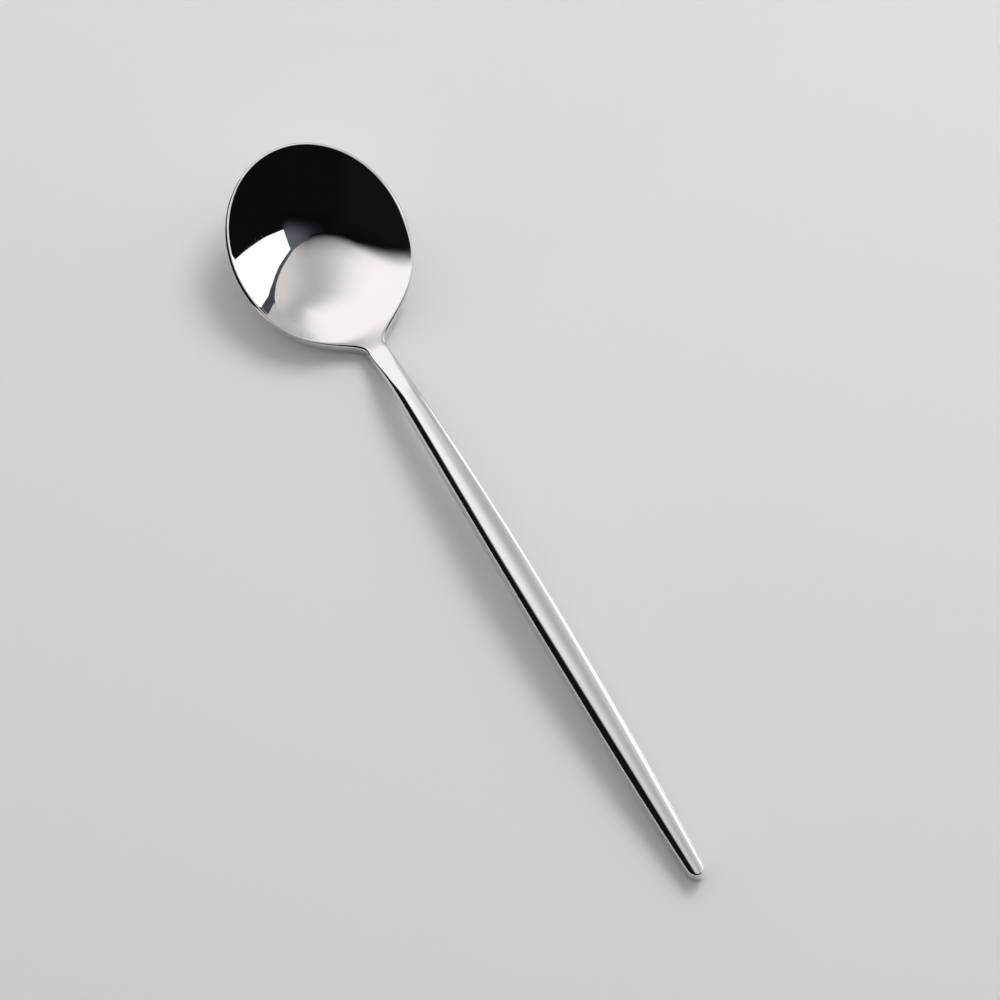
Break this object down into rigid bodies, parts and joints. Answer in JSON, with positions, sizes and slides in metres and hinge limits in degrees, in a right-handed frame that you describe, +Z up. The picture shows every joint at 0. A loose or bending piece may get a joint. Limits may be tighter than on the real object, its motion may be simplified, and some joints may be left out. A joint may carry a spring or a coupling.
{
  "type": "teaspoon",
  "caption": "Mirror-polished steel teaspoon with a deep, nearly round bowl and a slim spindle-shaped handle, for stirring and measuring small servings.",
  "frame": {"origin": "middle of the spoon's length, on the surface that it rests on", "axes": "+X along the spoon from the bowl's tip to the end of the handle, +Z up out of the hollow"},
  "size_m": [0.1399, 0.0302, 0.0143],
  "materials": {
    "polished_steel": "mirror polished"
  },
  "bodies": {
    "root": {"bowl": "polished_steel", "handle": "polished_steel"}
  },
  "joints": []
}
